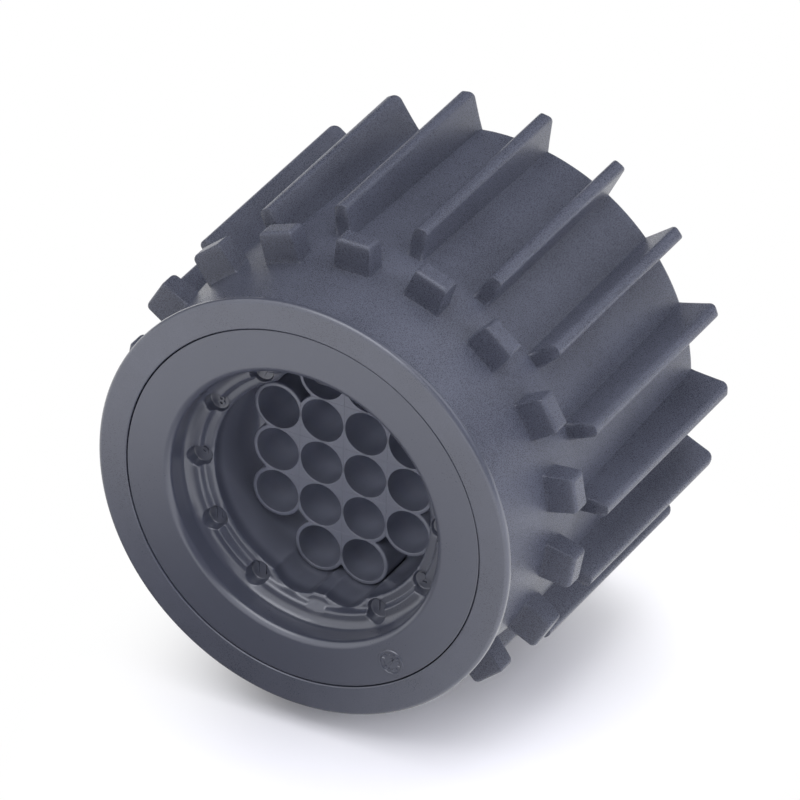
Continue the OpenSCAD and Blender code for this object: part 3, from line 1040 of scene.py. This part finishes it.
# %% Interface seal
SEAL_FOOT = 13.0
SEAL_END = 18.2
SEAL_IN = 17.05
SEAL_OUT = 18.15
SEAL_CHAMFER = 0.2
SEAL_COLUMNS = 144
LIP = 0.7
LIP_VALLEY = 0.02
along_lips = np.linspace(SEAL_FOOT, SEAL_END, 41)
lip_middle = SEAL_FOOT + LIP + (SEAL_END - SEAL_FOOT - 2 * LIP) / 2 * np.arange(3)
nearest = np.abs(along_lips[:, None] - lip_middle).min(axis=1)
lip_rise = np.sqrt(np.maximum(LIP**2 - nearest**2, LIP_VALLEY**2))
outer_skin = np.stack([SEAL_OUT + lip_rise, along_lips], axis=1)
inner_skin = np.array([
    (SEAL_IN + SEAL_CHAMFER, SEAL_END),
    (SEAL_IN, SEAL_END - SEAL_CHAMFER),
    (SEAL_IN, SEAL_FOOT + SEAL_CHAMFER),
    (SEAL_IN + SEAL_CHAMFER, SEAL_FOOT),
])
seal_path = np.concatenate([outer_skin, inner_skin])
seal_grid = turned(seal_path[:, :1], full_turn(SEAL_COLUMNS), seal_path[:, 1:])
seal = make_piece("seal_sleeve", [(seal_grid, True)], seal_silicone, "housing")
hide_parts("interface_seal")

# %% [markdown]
# ## Contact lock
#
# A pale plate in the nose locks the contacts once all are in. It is made of
# tiles again, each with a slot for one blade, with a hoop around them that has
# two pry notches. Four round webs fill the inner corners of the block, where
# the collars of the tiles leave a gap.

# %% Tiles with a slot
LOCK_FACE = 40.0
LOCK_BACK = 37.4
LOCK_SEAM = 0.04
LOCK_LAP = 0.01
SLOT = (1.7, 0.7)
slot_edge = (np.abs(np.cos(around) / SLOT[0]) ** 8 + np.abs(np.sin(around) / SLOT[1]) ** 8) ** (-1 / 8)
lock_path = np.array([
    (1, 0, LOCK_BACK, 0, 0),
    (1, 0, LOCK_FACE, 0, -1),
    (1, 0, LOCK_FACE, 1, 0),
    (0, 0.12, LOCK_FACE, 0, 0),
    (0, 0.03, LOCK_FACE, 0, -1),
    (0, 0, LOCK_FACE, 0, -3),
    (0, 0, LOCK_BACK, 0, 0),
])
plates = [(tube(p, tile_outline(p)[0] + LOCK_LAP, slot_edge, lock_path, LOCK_SEAM), True) for p in places]
print("tiles of the lock:", len(plates))

# %% Webs in the inner corners
WEB_RADIUS = 1.2
WEB_SINK = 0.06
web_turn = full_turn(24)[:, None]
web_x = PITCH + WEB_RADIUS * np.cos(web_turn)
web_y = 1.5 * PITCH + WEB_RADIUS * np.sin(web_turn)
web_depth = np.array([[LOCK_BACK, LOCK_FACE - WEB_SINK]])
webs = [(in_frame(sx * web_x, sy * web_y, web_depth), False) for sx in (-1, 1) for sy in (-1, 1)]
print("webs:", len(webs))

# %% Hoop with pry notches
LOCK_RADIUS = 14.7
NOTCH = 0.9
NOTCH_HALF = 1.2
HOOP_EDGE = 0.25
HOOP_BEND = 0.07
lock_turn = full_turn(360)
lock_hole = reach(lock_turn, cavities, COLLAR)
notched = np.abs(LOCK_RADIUS * np.sin(lock_turn)) < NOTCH_HALF
hoop_rim = LOCK_RADIUS - NOTCH * notched
hoop_radius = np.stack([lock_hole, lock_hole, hoop_rim - HOOP_EDGE, hoop_rim - HOOP_BEND, hoop_rim, hoop_rim])
hoop_depth = [LOCK_BACK, LOCK_FACE, LOCK_FACE, LOCK_FACE - HOOP_BEND, LOCK_FACE - HOOP_EDGE, LOCK_BACK]
hoop = turned(hoop_radius, lock_turn, np.array(hoop_depth)[:, None])
lock = make_piece("lock_plate", plates + webs + [(hoop, True)], lock_plastic, "housing")
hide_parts("contact_lock")

# %% [markdown]
# ## Floor
#
# The part lies on a white table that is so well lit that it burns out. More
# lamps could do that, but they would light the part too. So the table glows
# white for the camera and in the part's gloss. Close to the part a mask hands
# over to matte paint for the camera, which keeps the soft contact shadow. In the
# part's gloss the glow dims close to the part instead: painted shade, which
# darkens the lower faces that mirror the floor there.

# %% White table's finish


def floor_fade(tree, x, y, near, far, wide):
    """Smooth step of the distance from a point, from near to far; sideways it counts wide times."""
    place = centred(tree, (-x * wide, -y, 0), (wide, 1, 1))
    return ramp_node(tree, math_node(tree, "LENGTH", place, kind="VectorMath"), near, far)


table_white = bpy.data.materials.new("white_table")
table_white.use_nodes = True
sheet = table_white.node_tree
paint = plug(sheet.nodes["Principled BSDF"], {"Base Color": (0.9, 0.9, 0.97, 1), "Roughness": 0.8})
ray = new_node(sheet, "LightPath", {}).outputs
past_shadow = floor_fade(sheet, 0.012, -0.016, 0.016, 0.064, 1.5)
bright = math_node(sheet, "MULTIPLY_ADD", past_shadow, 0.99, 0.01)
looked_at = math_node(sheet, "MULTIPLY", bright, ray["Is Camera Ray"])
share = math_node(sheet, "MAXIMUM", looked_at, ray["Is Glossy Ray"])
# Painted shade in gloss: the glow that reflections see dims to a tenth near the part.
past_part = floor_fade(sheet, -0.02, -0.02, 0.018, 0.085, 1.6)
glow_with_painted_shade = math_node(sheet, "MULTIPLY_ADD", past_part, 0.9, 0.1)
strength = math_node(sheet, "MAXIMUM", glow_with_painted_shade, ray["Is Camera Ray"])
glow = new_node(sheet, "Emission", {"Strength": strength})
blend = new_node(sheet, "MixShader", {0: share, 1: paint.outputs[0], 2: glow.outputs[0]})
plug(sheet.nodes["Material Output"], {"Surface": blend.outputs[0]})
print("the table's finish has", len(sheet.nodes), "nodes")

# %% Table under the part
TABLE_HALF = 2.5
table_corners = TABLE_HALF * np.array([(-1, -1, 0), (1, -1, 0), (1, 1, 0), (-1, 1, 0)])
table_mesh = bpy.data.meshes.new("table")
table_mesh.from_pydata(table_corners.tolist(), [], [(0, 1, 2, 3)])
table_mesh.materials.append(table_white)
table = add_object("table", table_mesh)
print("table of", 2 * TABLE_HALF, "m")

# %% [markdown]
# ## Light
#
# The picture is darkest on the left and has only a faint shadow. An even white
# room would flatten the ribs. So soft boxes stand to the right, behind and
# above, and the table's bounce fills the left. A bright panel at the front
# left is seen in gloss alone, where the part's smooth faces mirror it.

# %% A panel that only gloss sees
PANEL = (-0.406, -0.579, 0.707)
PANEL_FROM = 0.45
PANEL_TO = 0.75
world = bpy.data.worlds.new("white_room")
world.use_nodes = True
bpy.context.scene.world = world
room = world.node_tree
seen = new_node(room, "TexCoord", {}).outputs["Generated"]
towards = math_node(room, "DOT_PRODUCT", seen, PANEL, kind="VectorMath")
panel = ramp_node(room, towards, PANEL_FROM, PANEL_TO)
mirrored_ray = new_node(room, "LightPath", {}).outputs["Is Glossy Ray"]
shown = math_node(room, "MULTIPLY", panel, mirrored_ray)
plug(room.nodes["Background"], {"Color": (1, 1, 1, 1), "Strength": shown})
print("panel of", round(2 * np.degrees(np.arccos(PANEL_FROM))), "degrees")

# %% Soft boxes
BOX_DISTANCE = 1.0
BOX_SIZE = 0.8


def soft_box(name, azimuth, elevation, power, mirrored=False):
    """Square lamp at an azimuth, counted from the front to the right, aimed at the part's middle."""
    turn, lift = np.radians(azimuth), np.radians(elevation)
    away = Vector((np.cos(lift) * np.sin(turn), -np.cos(lift) * np.cos(turn), np.sin(lift)))
    lamp = bpy.data.lights.new(name, "AREA")
    lamp.size = BOX_SIZE
    lamp.energy = power
    box = add_object(name, lamp)
    box.location = away * BOX_DISTANCE + Vector((0, 0, AXIS_HEIGHT))
    box.rotation_euler = (-away).to_track_quat("-Z", "Y").to_euler()
    box.visible_glossy = mirrored


soft_box("right_side_box", 90, 16, 9.0)
soft_box("right_back_box", 135, 42, 1.4, mirrored=True)
soft_box("right_top_box", 80, 60, 3.6)
soft_box("left_back_box", 225, 42, 5.0)
soft_box("back_top_box", 180, 72, 4.2)
soft_box("front_top_box", 0, 42, 4.6)
soft_box("top_box", 0, 72, 2.8, mirrored=True)

# %% [markdown]
# ## Camera
#
# The picture was taken with a long lens from the right and above. The angles
# were found by fitting the part's circles to the picture. The camera looks at
# a point near the part's middle, so no lens shift is needed.

# %% Camera
VIEW_AZIMUTH = 27.963
VIEW_ELEVATION = 32.056
VIEW_ROLL = 1.469
VIEW_DISTANCE = 1187.6
LENS = 475.63
AIM = (-0.685, 0.483, 30.214)
FAR_CLIP = 20
camera = add_object("camera", bpy.data.cameras.new("camera"))
camera.data.lens = LENS
camera.data.clip_end = FAR_CLIP
look = Euler((np.radians(90 - VIEW_ELEVATION), 0, np.radians(VIEW_AZIMUTH))).to_matrix()
tilt = look @ Matrix.Rotation(np.radians(VIEW_ROLL), 3, "Z")
eye = Vector(AIM) * MM + tilt @ Vector((0, 0, VIEW_DISTANCE * MM))
camera.matrix_world = Matrix.Translation(eye) @ tilt.to_4x4()
bpy.context.scene.camera = camera
bpy.context.scene.view_settings.view_transform = "Standard"
print("camera at", [round(v, 3) for v in camera.matrix_world.translation])
